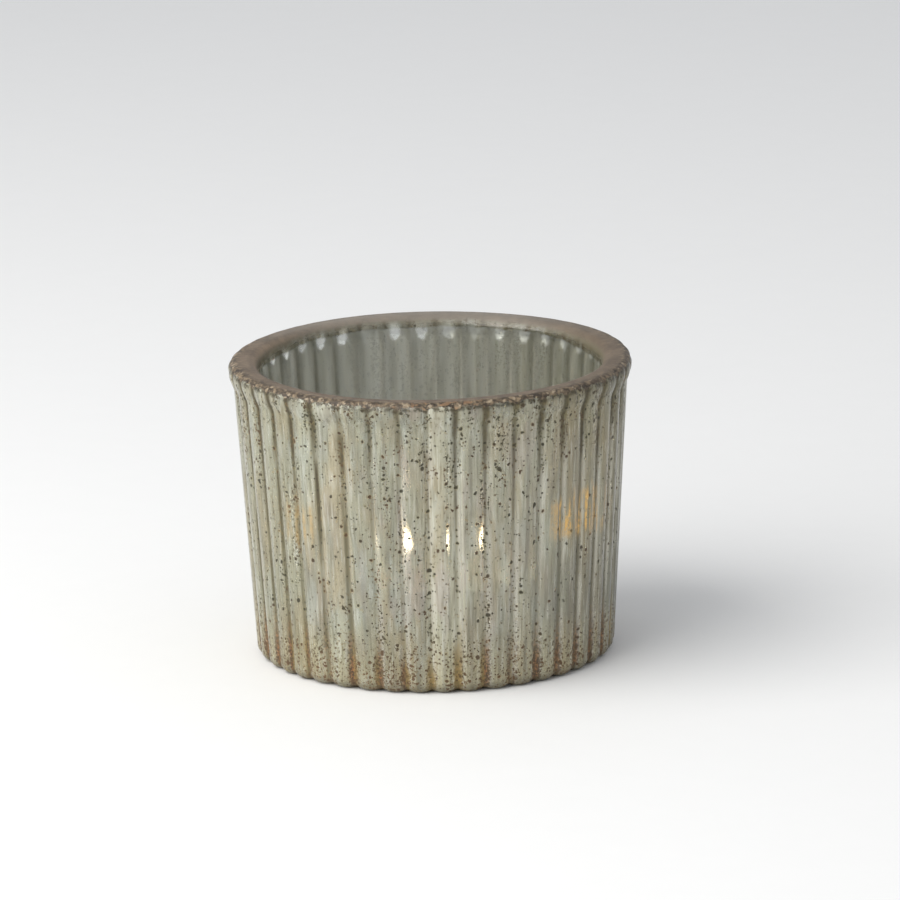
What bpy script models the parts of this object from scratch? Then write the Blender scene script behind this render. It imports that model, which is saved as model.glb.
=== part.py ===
"""A tealight holder: a thick pressed-glass cup with upright ribs, and the tealight that it holds.

Metres, +Z up. The origin is the centre of the foot, on the surface that the holder stands on.
Run it with: blender --background --python part.py
"""

import math

import bmesh
import bpy

MM = 0.001
GAP = 0.3 * MM  # clearance kept between neighbouring pieces

# Glass cup. Radii of the ribbed wall are those of the rib crests.
CUP_HEIGHT = 67.0 * MM
RIM_RADIUS = 45.1 * MM  # outside of the lip
WALL_TOP_RADIUS = 44.0 * MM  # just under the lip
WALL_FOOT_RADIUS = 40.4 * MM
FOOT_RADIUS = 38.4 * MM  # outer edge of the ring that it stands on
FOOT_ROUNDING = 2.2 * MM
LIP_HEIGHT = 6.5 * MM
RIM_EDGE = 2.0 * MM  # rounding of the rim's outer edge
RIBS = 42
RIB_DEPTH = 0.8 * MM
LIP_RIB_DEPTH = 0.45 * MM  # at the lip's widest, above which the ribs die out
STEPS_PER_RIB = 6
FIRST_VALLEY = math.radians(-91.5)  # the valley nearest the front, which faces -Y

# The hollow of the cup
MOUTH_RADIUS = 38.5 * MM
HOLLOW_FOOT_RADIUS = 35.0 * MM
HOLLOW_ROUNDING = 5.0 * MM
MOUTH_EDGE = 2.6 * MM  # rounding of the rim's inner edge
FLOOR = 3.4 * MM
HOLLOW_STEPS = 80
KICK_RADIUS = 27.0 * MM  # shallow recess under the foot, so that the cup doesn't rock
KICK_DEPTH = 0.8 * MM

# Tealight: a thin aluminium cup
TEALIGHT_RADIUS = 19.0 * MM
TEALIGHT_HEIGHT = 14.5 * MM
TEALIGHT_WALL = 0.3 * MM
TEALIGHT_ROUNDING = 1.2 * MM
BEAD_RADIUS = 0.45 * MM  # the rolled edge
TEALIGHT_STEPS = 64

# Tealight: wax, wick and the steel tab that holds the wick up
WAX_BELOW_EDGE = 2.0 * MM
MELT_DIP = 1.0 * MM  # how far the melted middle lies below the wax at the wall
MELT_RADIUS = 15.0 * MM
WICK_RADIUS = 0.75 * MM
WICK_ABOVE_EDGE = 4.0 * MM
WICK_LEAN = 0.9 * MM
WICK_POINTS = 9
TAB_RADIUS = 6.3 * MM
TAB_THICKNESS = 0.3 * MM
NECK_HEIGHT = 3.0 * MM
WAX_STEPS = 48
TAB_STEPS = 24

# Heights that follow from the sizes above
TEALIGHT_FOOT = FLOOR + GAP
TEALIGHT_TOP = TEALIGHT_FOOT + TEALIGHT_HEIGHT
TEALIGHT_FLOOR = TEALIGHT_FOOT + TEALIGHT_WALL
TAB_FOOT = TEALIGHT_FLOOR + GAP
TAB_TOP = TAB_FOOT + TAB_THICKNESS
NECK_TOP = TAB_TOP + NECK_HEIGHT
NECK_BORE = WICK_RADIUS + GAP
NECK_RADIUS = NECK_BORE + TAB_THICKNESS
WAX_RADIUS = TEALIGHT_RADIUS - TEALIGHT_WALL - GAP
WAX_TOP = TEALIGHT_TOP - WAX_BELOW_EDGE


def clear_scene():
    for obj in list(bpy.data.objects):
        bpy.data.objects.remove(obj)


def material(name, colour, roughness, metallic=0.0, transmission=0.0):
    made = bpy.data.materials.new(name)
    made.use_nodes = True
    shader = made.node_tree.nodes["Principled BSDF"]
    shader.inputs["Base Color"].default_value = (*colour, 1.0)
    shader.inputs["Roughness"].default_value = roughness
    shader.inputs["Metallic"].default_value = metallic
    shader.inputs["Transmission Weight"].default_value = transmission
    return made


def finished(name, mesh, surface):
    """An object of this mesh, smooth where it is round, with its one material."""
    mesh.shade_smooth()
    mesh.set_sharp_from_angle(angle=math.radians(35))
    mesh.materials.append(surface)
    obj = bpy.data.objects.new(name, mesh)
    bpy.context.scene.collection.objects.link(obj)
    return obj


def mesh_of(name, bm):
    bmesh.ops.recalc_face_normals(bm, faces=bm.faces)
    mesh = bpy.data.meshes.new(name)
    bm.to_mesh(mesh)
    bm.free()
    return mesh


def arc(centre, radius, start, end, steps):
    """Points (r, z) on an arc, its angles in degrees from +r towards +z."""
    found = []
    for i in range(steps + 1):
        angle = math.radians(start + (end - start) * i / steps)
        found.append((centre[0] + radius * math.cos(angle), centre[1] + radius * math.sin(angle)))
    return found


def turned(name, profile, steps, surface):
    """A profile of points (r, z) turned round Z: a closed ring, or one that starts and ends on the axis."""
    bm = bmesh.new()
    points = [bm.verts.new((r, 0.0, z)) for r, z in profile]
    edges = [bm.edges.new(pair) for pair in zip(points, points[1:])]
    if profile[0][0] > 0:
        edges.append(bm.edges.new((points[-1], points[0])))
    bmesh.ops.spin(
        bm,
        geom=points + edges,
        cent=(0, 0, 0),
        axis=(0, 0, 1),
        angle=2 * math.pi,
        steps=steps,
        use_merge=True,
    )
    bmesh.ops.remove_doubles(bm, verts=bm.verts, dist=1e-6)
    return finished(name, mesh_of(name, bm), surface)


def cutter(name, profile, steps, surface):
    """A turned helper that a Boolean cuts away."""
    tool = turned(name, profile, steps, surface)
    tool.hide_render = True
    tool.display_type = "WIRE"
    return tool


def cut(obj, tool):
    boolean = obj.modifiers.new(tool.name, "BOOLEAN")
    boolean.operation = "DIFFERENCE"
    boolean.solver = "EXACT"
    boolean.object = tool


def ribbed_loop(bm, radius, height, depth):
    """A closed loop of edges: convex ribs side by side, with a sharp valley of this depth between them."""
    count = RIBS * STEPS_PER_RIB
    points = []
    for i in range(count):
        across = 2 * (i % STEPS_PER_RIB) / STEPS_PER_RIB - 1  # -1 and 1 in the valleys, 0 on the crest
        angle = FIRST_VALLEY + 2 * math.pi * i / count
        r = radius - depth * across**2
        points.append(bm.verts.new((r * math.cos(angle), r * math.sin(angle), height)))
    return [bm.edges.new((points[i], points[(i + 1) % count])) for i in range(count)]


def cup_outline():
    """(radius, height, rib depth) of each loop of the ribbed outside, from the foot up."""
    lip_foot = CUP_HEIGHT - LIP_HEIGHT
    lip_rise = RIM_RADIUS - WALL_TOP_RADIUS
    foot_arc = arc((WALL_FOOT_RADIUS - FOOT_ROUNDING, FOOT_ROUNDING), FOOT_ROUNDING, -82, 0, 3)
    loops = [(FOOT_RADIUS, 0.0, 0.5 * RIB_DEPTH)]
    loops += [(r, z, RIB_DEPTH * (0.7 + 0.3 * z / FOOT_ROUNDING)) for r, z in foot_arc[1:]]
    loops += [
        (WALL_TOP_RADIUS, lip_foot, RIB_DEPTH),
        (WALL_TOP_RADIUS + 0.25 * lip_rise, lip_foot + 0.25 * LIP_HEIGHT, RIB_DEPTH),
        (RIM_RADIUS - 0.15 * lip_rise, lip_foot + 0.6 * LIP_HEIGHT, 0.7 * RIB_DEPTH),
    ]
    edge = arc((RIM_RADIUS - RIM_EDGE, CUP_HEIGHT - RIM_EDGE), RIM_EDGE, 0, 90, 4)
    fade = [LIP_RIB_DEPTH * (1 - i / 4) for i in range(5)]
    loops += [(r, z, depth) for (r, z), depth in zip(edge, fade)]
    return loops


def hollow_profile():
    """The room inside the cup, from the floor's centre up and out through the mouth."""
    corner = arc((HOLLOW_FOOT_RADIUS - HOLLOW_ROUNDING, FLOOR + HOLLOW_ROUNDING), HOLLOW_ROUNDING, -90, 0, 5)
    edge = arc((MOUTH_RADIUS + MOUTH_EDGE, CUP_HEIGHT - MOUTH_EDGE), MOUTH_EDGE, 180, 95, 5)
    above = CUP_HEIGHT + 3 * MM
    return [(0.0, FLOOR), *corner, *edge, (MOUTH_RADIUS + MOUTH_EDGE, above), (0.0, above)]


def glass_cup(surface):
    bm = bmesh.new()
    loops = [ribbed_loop(bm, *size) for size in cup_outline()]
    for lower, upper in zip(loops, loops[1:]):
        bmesh.ops.bridge_loops(bm, edges=lower + upper)
    for end in (loops[0], loops[-1]):
        bmesh.ops.contextual_create(bm, geom=end)
    cup = finished("glass_cup", mesh_of("glass_cup", bm), surface)
    cut(cup, cutter("hollow", hollow_profile(), HOLLOW_STEPS, surface))
    below = -2 * MM
    kick = [
        (0.0, KICK_DEPTH),
        (KICK_RADIUS - 2 * KICK_DEPTH, KICK_DEPTH),
        (KICK_RADIUS, 0.0),
        (KICK_RADIUS, below),
        (0.0, below),
    ]
    cut(cup, cutter("kick", kick, HOLLOW_STEPS, surface))
    return cup


def tealight_cup(surface):
    inner = TEALIGHT_RADIUS - TEALIGHT_WALL
    rounding = TEALIGHT_ROUNDING
    inner_rounding = rounding - TEALIGHT_WALL
    round_centre = (TEALIGHT_RADIUS - rounding, TEALIGHT_FOOT + rounding)
    bead = (TEALIGHT_RADIUS, TEALIGHT_TOP - BEAD_RADIUS)
    profile = [(0.0, TEALIGHT_FOOT)]
    profile += arc(round_centre, rounding, -90, 0, 4)
    profile += arc(bead, BEAD_RADIUS, -70, 120, 6)
    profile.append((inner, TEALIGHT_TOP - 2 * BEAD_RADIUS))
    profile += arc(round_centre, inner_rounding, 0, -90, 4)
    profile.append((0.0, TEALIGHT_FLOOR))
    return turned("tealight_cup", profile, TEALIGHT_STEPS, surface)


def wax_fill(surface):
    """Wax round the wick's tab and neck. Its top sinks from the wall to the melted pool in the middle."""
    tab_room = TAB_RADIUS + GAP
    neck_room = NECK_RADIUS + GAP
    rounding = TEALIGHT_ROUNDING
    pool = WAX_TOP - MELT_DIP
    profile = [
        (neck_room, TAB_TOP + GAP),
        (tab_room, TAB_TOP + GAP),
        (tab_room, TAB_FOOT),
        (WAX_RADIUS - rounding, TAB_FOOT),
        (WAX_RADIUS, TAB_FOOT + rounding),
        (WAX_RADIUS, WAX_TOP),
        (WAX_RADIUS - 1.0 * MM, WAX_TOP - 0.35 * MELT_DIP),
        (MELT_RADIUS, WAX_TOP - 0.8 * MELT_DIP),
        (0.6 * MELT_RADIUS, pool),
        (NECK_BORE, pool),
        (NECK_BORE, NECK_TOP + GAP),
        (neck_room, NECK_TOP + GAP),
    ]
    return turned("wax_fill", profile, WAX_STEPS, surface)


def wick_sustainer(surface):
    profile = [
        (NECK_BORE, TAB_FOOT),
        (TAB_RADIUS, TAB_FOOT),
        (TAB_RADIUS, TAB_TOP),
        (NECK_RADIUS + 0.1 * MM, TAB_TOP),
        (NECK_RADIUS, TAB_TOP + 0.4 * MM),
        (NECK_RADIUS, NECK_TOP),
        (NECK_BORE, NECK_TOP),
    ]
    return turned("wick_sustainer", profile, TAB_STEPS, surface)


def wick(surface):
    """A cord, straight in the wax and curling to one side above it."""
    foot = TAB_FOOT + 0.1 * MM
    top = TEALIGHT_TOP + WICK_ABOVE_EDGE
    bend = WAX_TOP - MELT_DIP
    line = bpy.data.curves.new("wick", "CURVE")
    line.dimensions = "3D"
    line.bevel_depth = WICK_RADIUS
    line.bevel_resolution = 2
    line.use_fill_caps = True
    spline = line.splines.new("POLY")
    heights = [foot] + [bend + (top - bend) * i / (WICK_POINTS - 2) for i in range(WICK_POINTS - 1)]
    spline.points.add(len(heights) - 1)
    for point, height in zip(spline.points, heights):
        share = max(0.0, (height - bend) / (top - bend))
        point.co = (WICK_LEAN * share**2, 0.0, height, 1.0)
    line.materials.append(surface)
    obj = bpy.data.objects.new("wick", line)
    bpy.context.scene.collection.objects.link(obj)
    return obj


def group(name, members):
    """An empty on the lift's axis that carries the pieces which move together."""
    empty = bpy.data.objects.new(name, None)
    bpy.context.scene.collection.objects.link(empty)
    for member in members:
        member.parent = empty
    return empty


def main():
    clear_scene()
    silvered_glass = material("silvered_glass", (0.62, 0.63, 0.56), 0.15, 0.2, 0.35)
    aluminium = material("aluminium", (0.80, 0.80, 0.79), 0.3, 1.0)
    wax = material("wax", (0.93, 0.90, 0.82), 0.45)
    cotton = material("cotton", (0.35, 0.31, 0.26), 0.9)
    tinned_steel = material("tinned_steel", (0.66, 0.66, 0.65), 0.35, 1.0)

    glass_cup(silvered_glass)
    candle = group(
        "candle",
        [wax_fill(wax), wick(cotton), wick_sustainer(tinned_steel)],
    )
    group("tealight", [tealight_cup(aluminium), candle])


main()
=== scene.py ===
"""The looks of a tealight holder: thick ribbed glass with an antiqued silver coat, and a lit tealight in it.

Sizes are in metres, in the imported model's frame: +Z up, the foot at z = 0, and the front at -Y.
"""

import math
from types import SimpleNamespace

import bpy
import numpy as np
from mathutils import Matrix, Vector


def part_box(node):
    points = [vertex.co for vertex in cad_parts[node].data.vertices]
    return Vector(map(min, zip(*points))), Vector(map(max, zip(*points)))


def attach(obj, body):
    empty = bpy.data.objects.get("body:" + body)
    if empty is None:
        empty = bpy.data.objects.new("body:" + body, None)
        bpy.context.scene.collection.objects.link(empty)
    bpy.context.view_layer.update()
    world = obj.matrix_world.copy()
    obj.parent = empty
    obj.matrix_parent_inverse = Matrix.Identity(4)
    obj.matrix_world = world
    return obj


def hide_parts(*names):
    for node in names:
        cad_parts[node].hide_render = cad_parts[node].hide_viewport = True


MM = 0.001

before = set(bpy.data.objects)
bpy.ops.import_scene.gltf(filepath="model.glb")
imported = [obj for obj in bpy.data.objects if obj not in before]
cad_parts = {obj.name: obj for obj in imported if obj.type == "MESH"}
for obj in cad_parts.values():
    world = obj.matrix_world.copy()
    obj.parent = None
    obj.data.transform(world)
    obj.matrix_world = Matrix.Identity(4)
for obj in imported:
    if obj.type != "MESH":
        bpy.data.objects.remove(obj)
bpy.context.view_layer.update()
CUP_LOW, CUP_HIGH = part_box("glass_cup")
FOIL_LOW, FOIL_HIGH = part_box("tealight_cup")
WAX_LOW, WAX_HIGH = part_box("wax_fill")
WICK_LOW, WICK_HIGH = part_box("wick")
TAB_LOW, TAB_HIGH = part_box("wick_sustainer")

# Glass cup. Radii of the ribbed wall are those of the rib crests.
CUP_HEIGHT = CUP_HIGH.z
RIM_RADIUS = min(CUP_HIGH.x, CUP_HIGH.y) - 0.03 * MM
WALL_TOP_RADIUS = RIM_RADIUS - 1.1 * MM
WALL_FOOT_RADIUS = RIM_RADIUS - 4.7 * MM
FOOT_RADIUS = RIM_RADIUS - 6.7 * MM
FOOT_ROUNDING = 2.2 * MM
LIP_HEIGHT = 6.5 * MM
RIM_EDGE = 2.0 * MM
RIBS = 42
RIB_DEPTH = 0.8 * MM
STEPS_PER_RIB = 20
FIRST_VALLEY = math.radians(-91.5)  # the valley nearest the front, which faces -Y
TOE_LIFT = 0.55 * MM  # how much higher a valley ends than the toes of the ribs beside it
MOUTH_RADIUS = 38.4 * MM
MOUTH_EDGE = 2.6 * MM
HOLLOW_FOOT_RADIUS = 35.0 * MM
HOLLOW_ROUNDING = 5.0 * MM
FLOOR = 3.4 * MM
KICK_RADIUS = 27.0 * MM
KICK_DEPTH = 0.8 * MM

# Its finish
# Painted reflections of the flame: where amber streaks are painted into the coat's colour.
FLAME_REFLECTION_UP = 0.555  # the height of the flame's amber glints, as a share of the cup's
FLAME_REFLECTION_LEFT = -29 * MM
FLAME_REFLECTION_RIGHT = 32 * MM
STRIPE_X = 2.4 * MM  # the middle of a stripe of thick silver in front of the flame
STRIPE_REACH = 3.8 * MM
SCRATCHES = ((3.1 * MM, 0.2 * MM), (5.9 * MM, 0.1 * MM))  # X and half width of each scratch in it
WINDOW_REACH_ACROSS = 0.56  # half the width of a clear oval, as a share of half a rib
WINDOW_REACH_UP = 2.4 * MM
WINDOW_DROP = 4.0 * MM  # how far down the outside from the top of the lip

# Tealight
FOIL_RADIUS = FOIL_HIGH.x - 0.45 * MM
FOIL_WALL = 0.22 * MM
BEAD_RADIUS = 0.43 * MM
WAX_RADIUS = WAX_HIGH.x
POOL_DEPTH = 1.0 * MM
WICK_RADIUS = 0.72 * MM
FLAME_FOOT = WICK_HIGH.z - 0.7 * MM
FLAME_HEIGHT = 6.2 * MM
FLAME_RADIUS = 3.7 * MM

# Camera: where it stands, and where the cup's middle lies in its view
CAMERA_DISTANCE = 1.4
CAMERA_ELEVATION = math.radians(14.9)
CAMERA_ROLL = math.radians(-1.2)
LENS = 250.0
AIM_RIGHT = 3.8 * MM  # the view's centre lies this far right of the cup's middle
AIM_UP = 11.7 * MM
MIDDLE_HEIGHT = 33 * MM  # of the point on the cup's axis that the camera's place is measured from


# ---------------------------------------------------------------- materials

def srgb(red, green, blue):
    """A display colour of 0 to 255 as the linear colour that shaders take."""
    shares = [c / 255 for c in (red, green, blue)]
    return tuple(c / 12.92 if c <= 0.04045 else ((c + 0.055) / 1.055) ** 2.4 for c in shares)


# The silver coat
SAGE = srgb(180, 180, 160)
BEIGE = srgb(178, 169, 143)
GREY = srgb(160, 163, 151)
TAUPE = srgb(154, 147, 137)
MOSS = srgb(146, 140, 114)
COOL_SILVER = srgb(190, 196, 186)
MAUVE = srgb(180, 166, 160)
# painted light for the middle of the front
PAINTED_LIGHT_SILVER = srgb(206, 200, 180)
LEFT_OLIVE = srgb(152, 148, 122)
# painted shade for the right side and its edge, away from the lamp
PAINTED_RIGHT_SHADE = srgb(118, 116, 104)
PAINTED_OCHRE_SHADE = srgb(128, 112, 74)
PAINTED_EDGE_SHADE = srgb(84, 82, 56)
FOOT_STRAW = srgb(182, 170, 132)
DARK_HAIRLINE = srgb(112, 106, 82)
PALE_HAIRLINE = srgb(216, 216, 204)
# a painted highlight for the rib flanks that face the lamp
PAINTED_FLANK_HIGHLIGHT = srgb(210, 207, 193)
CREST_GREY = srgb(116, 110, 97)
# a painted reflection of the flame
PAINTED_FLAME_REFLECTION = srgb(234, 188, 112)
# painted light and shade for the coat seen from inside
INSIDE_PAINTED_LIGHT = srgb(206, 207, 196)
INSIDE_PAINTED_SHADE = srgb(160, 158, 140)
INSIDE_VALLEY_PAINTED_LIGHT = srgb(212, 209, 192)
CLEAR_GLASS = srgb(246, 248, 244)

# Dirt and specks on it, and a painted shadow at the foot
YELLOW_STAIN = srgb(118, 106, 56)
VALLEY_LINE = srgb(82, 76, 46)
LIP_DIRT = srgb(74, 66, 38)
VALLEY_CORE = srgb(62, 52, 30)
RUST = srgb(146, 102, 60)
DARK_RUST = srgb(64, 46, 28)
YELLOW_RUST = srgb(142, 122, 64)
# a painted contact shadow at the foot
PAINTED_FOOT_SHADOW = srgb(74, 66, 44)
TAN_FRINGE = srgb(150, 126, 78)
OLIVE_FRINGE = srgb(142, 136, 96)
BROWN_SPECK = srgb(70, 48, 24)
OLIVE_SPECK = srgb(46, 43, 22)
PALE_SPECK = srgb(100, 84, 42)
FOOT_SPECK = srgb(98, 68, 38)

# The bronze rim
RIM_DARK = srgb(94, 80, 64)
RIM_PALE = srgb(116, 100, 82)
ROUGH_DARK = srgb(50, 40, 27)
ROUGH_PALE = srgb(144, 126, 100)
# painted sheen, and painted light and shade, for the rim
PAINTED_RIM_SHEEN = srgb(140, 134, 124)
RIM_INSIDE_PAINTED_LIGHT = srgb(172, 148, 120)
RIM_INSIDE_PAINTED_SHADE = srgb(112, 97, 77)
PAINTED_RIM_SHADE = srgb(84, 71, 54)
RIM_FOOT = srgb(108, 102, 82)
CRACK = srgb(44, 35, 24)
CHIP = srgb(168, 152, 128)
# painted copper glints for the front of the rim
PAINTED_COPPER_GLINT = srgb(184, 148, 114)
# a painted shadow under the rim
PAINTED_RIM_SHADOW = srgb(64, 55, 34)


class Surface:
    """A material, with short calls for the nodes that its pattern is made of."""

    def __init__(self, name):
        self.material = bpy.data.materials.new(name)
        self.material.use_nodes = True
        self.tree = self.material.node_tree
        self.shader = self.tree.nodes["Principled BSDF"]
        self.place = self.node("ShaderNodeTexCoord").outputs["Object"]

    def node(self, kind, **settings):
        made = self.tree.nodes.new(kind)
        for key, value in settings.items():
            setattr(made, key, value)
        return made

    def feed(self, socket, value):
        """Sets an input, or links it if the value is another node's output."""
        if isinstance(value, bpy.types.NodeSocket):
            self.tree.links.new(value, socket)
        elif isinstance(value, tuple) and len(value) == 3 and len(socket.default_value) == 4:
            socket.default_value = (*value, 1.0)
        else:
            socket.default_value = value

    def set(self, **inputs):
        """Feeds the shader's inputs, named with _ for spaces."""
        for name, value in inputs.items():
            self.feed(self.shader.inputs[name.replace("_", " ")], value)

    def math(self, operation, *values, clamp=False):
        made = self.node("ShaderNodeMath", operation=operation, use_clamp=clamp)
        for socket, value in zip(made.inputs, values):
            self.feed(socket, value)
        return made.outputs[0]

    def times(self, *values):
        product = values[0]
        for value in values[1:]:
            product = self.math("MULTIPLY", product, value)
        return product

    def plus(self, *values, clamp=True):
        total = values[0]
        for value in values[1:]:
            total = self.math("ADD", total, value, clamp=clamp)
        return total

    def inverse(self, value):
        return self.math("SUBTRACT", 1.0, value, clamp=True)

    def offset(self, value, reach):
        """A value of 0 to 1 as one of minus to plus half the reach."""
        return self.times(self.math("SUBTRACT", value, 0.5), reach)

    def colours(self, share, first, second):
        """The first colour at share 0, the second at share 1."""
        made = self.node("ShaderNodeMix", data_type="RGBA")
        for index, value in ((0, share), (6, first), (7, second)):
            self.feed(made.inputs[index], value)
        return made.outputs[2]

    def coats(self, colour, *layers):
        """The colour under layers of (share, colour), painted over it in this order."""
        for share, coat in layers:
            colour = self.colours(share, colour, coat)
        return colour

    def values(self, share, first, second):
        made = self.node("ShaderNodeMix", data_type="FLOAT")
        for index, value in ((0, share), (2, first), (3, second)):
            self.feed(made.inputs[index], value)
        return made.outputs[0]

    def ramp(self, value, low, high, start=0.0, end=1.0):
        """A smooth step from start, where value is low, to end, where it is high."""
        made = self.node("ShaderNodeMapRange", interpolation_type="SMOOTHSTEP")
        for index, given in enumerate((value, low, high, start, end)):
            self.feed(made.inputs[index], given)
        return made.outputs[0]

    def attribute(self, name):
        return self.node("ShaderNodeAttribute", attribute_name=name).outputs["Fac"]

    def axis(self, name):
        """The place along one axis, in metres."""
        split = self.node("ShaderNodeSeparateXYZ")
        self.feed(split.inputs[0], self.place)
        return split.outputs[name]

    def shifted(self, seed=0.0, stretch=1.0, place=None):
        """The place, moved so that each seed gives another pattern, and drawn out upwards by stretch."""
        made = self.node("ShaderNodeMapping")
        self.feed(made.inputs["Vector"], place or self.place)
        made.inputs["Location"].default_value = (seed * 0.731, seed * 0.417, seed * 0.293)
        made.inputs["Scale"].default_value = (1, 1, 1 / stretch)
        return made.outputs[0]

    def noise(self, pitch, seed=0.0, stretch=1.0, detail=2.0, roughness=0.5, colour=False):
        """Soft noise of 0 to 1 with blobs about this far apart."""
        made = self.node("ShaderNodeTexNoise")
        self.feed(made.inputs["Vector"], self.shifted(seed, stretch))
        made.inputs["Scale"].default_value = 1 / pitch
        made.inputs["Detail"].default_value = detail
        made.inputs["Roughness"].default_value = roughness
        return made.outputs["Color" if colour else "Fac"]

    def ragged(self, amount, pitch, seed=0.0):
        """The place, pushed about by noise, so that what is drawn there has uneven edges."""
        push = self.node("ShaderNodeVectorMath", operation="MULTIPLY_ADD")
        self.feed(push.inputs[0], self.noise(pitch, seed, detail=1.0, colour=True))
        push.inputs[1].default_value = (2 * amount,) * 3
        self.feed(push.inputs[2], self.place)
        return push.outputs[0]

    def spots(self, pitch, size, share, seed, ragged=0.0, stretch=1.0, halo=0.0):
        """(spots, halos round some): up to size across, one to a cell, in this share of the cells."""
        place = self.ragged(ragged, 1.5 * size, seed) if ragged else self.place
        cells = self.node("ShaderNodeTexVoronoi")
        self.feed(cells.inputs["Vector"], self.shifted(seed, stretch, place))
        cells.inputs["Scale"].default_value = 1 / pitch
        split = self.node("ShaderNodeSeparateColor")
        self.feed(split.inputs[0], cells.outputs["Color"])
        kept = self.math("LESS_THAN", split.outputs[0], share)
        radius = self.ramp(split.outputs[1], 0.0, 1.0, 0.18 * size / pitch, 0.5 * size / pitch)
        inner = self.times(radius, 0.8)
        spot = self.times(kept, self.ramp(cells.outputs["Distance"], radius, inner))
        if not halo:
            return spot
        ring = self.ramp(cells.outputs["Distance"], self.times(radius, halo), radius)
        return spot, self.times(kept, ring, self.ramp(split.outputs[2], 0.55, 0.75))

    def bump(self, height, distance):
        made = self.node("ShaderNodeBump")
        made.inputs["Distance"].default_value = distance
        self.feed(made.inputs["Height"], height)
        return made.outputs[0]


def flecks(s, pitch, crowd, seed):
    """(flecks, their stained fringes): ragged, about half the pitch across, and more where crowd is 1."""
    field = s.noise(pitch, seed, detail=3, roughness=0.6)
    bar = s.values(crowd, 0.76, 0.57)
    low_bar = s.plus(bar, -0.045, clamp=False)
    core = s.ramp(s.math("SUBTRACT", field, bar), 0.0, 0.018)
    fringe = s.ramp(s.math("SUBTRACT", field, low_bar), 0.0, 0.03)
    return core, fringe


def cup_places(s):
    """Where things are on the cup, and the patterns that several layers of its finish share."""
    at = SimpleNamespace()
    at.across = s.attribute("across")
    at.lean = s.attribute("lean")
    at.edge = s.attribute("edge")
    at.tone = s.attribute("tone")
    at.up = s.times(s.axis("Z"), 1 / CUP_HEIGHT)
    at.side = s.axis("X")
    at.front = s.ramp(s.axis("Y"), 0.0, -12 * MM)
    at.inside = s.node("ShaderNodeNewGeometry").outputs["Backfacing"]
    at.streak = s.noise(1.5 * MM, seed=2, stretch=14.0, detail=3)
    at.fine = s.noise(0.55 * MM, seed=3, detail=3, roughness=0.7)
    at.column = s.noise(3.2 * MM, seed=15, stretch=6.0, detail=2)
    at.hair = s.noise(0.5 * MM, seed=21, stretch=36.0, detail=2)
    at.rows = s.ramp(s.noise(2.4 * MM, seed=22, stretch=9.0, detail=2), 0.50, 0.62)
    at.valley = s.ramp(at.across, 0.80, 0.95)
    at.wide_valley = s.ramp(at.across, 0.50, 0.95)
    at.left = s.ramp(at.side, -10 * MM, -22 * MM)
    at.right = s.ramp(at.side, 16 * MM, 32 * MM)
    at.middle = s.inverse(s.plus(at.left, at.right))
    at.near_lip = s.ramp(at.up, 0.74, 0.97)
    at.near_foot = s.ramp(at.up, 0.26, 0.06)
    return at


def beside(s, value, middle, reach, fade):
    """1 within reach of the middle, 0 past reach and fade."""
    away = s.math("ABSOLUTE", s.math("SUBTRACT", value, middle))
    return s.ramp(away, reach + fade, reach)


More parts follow.
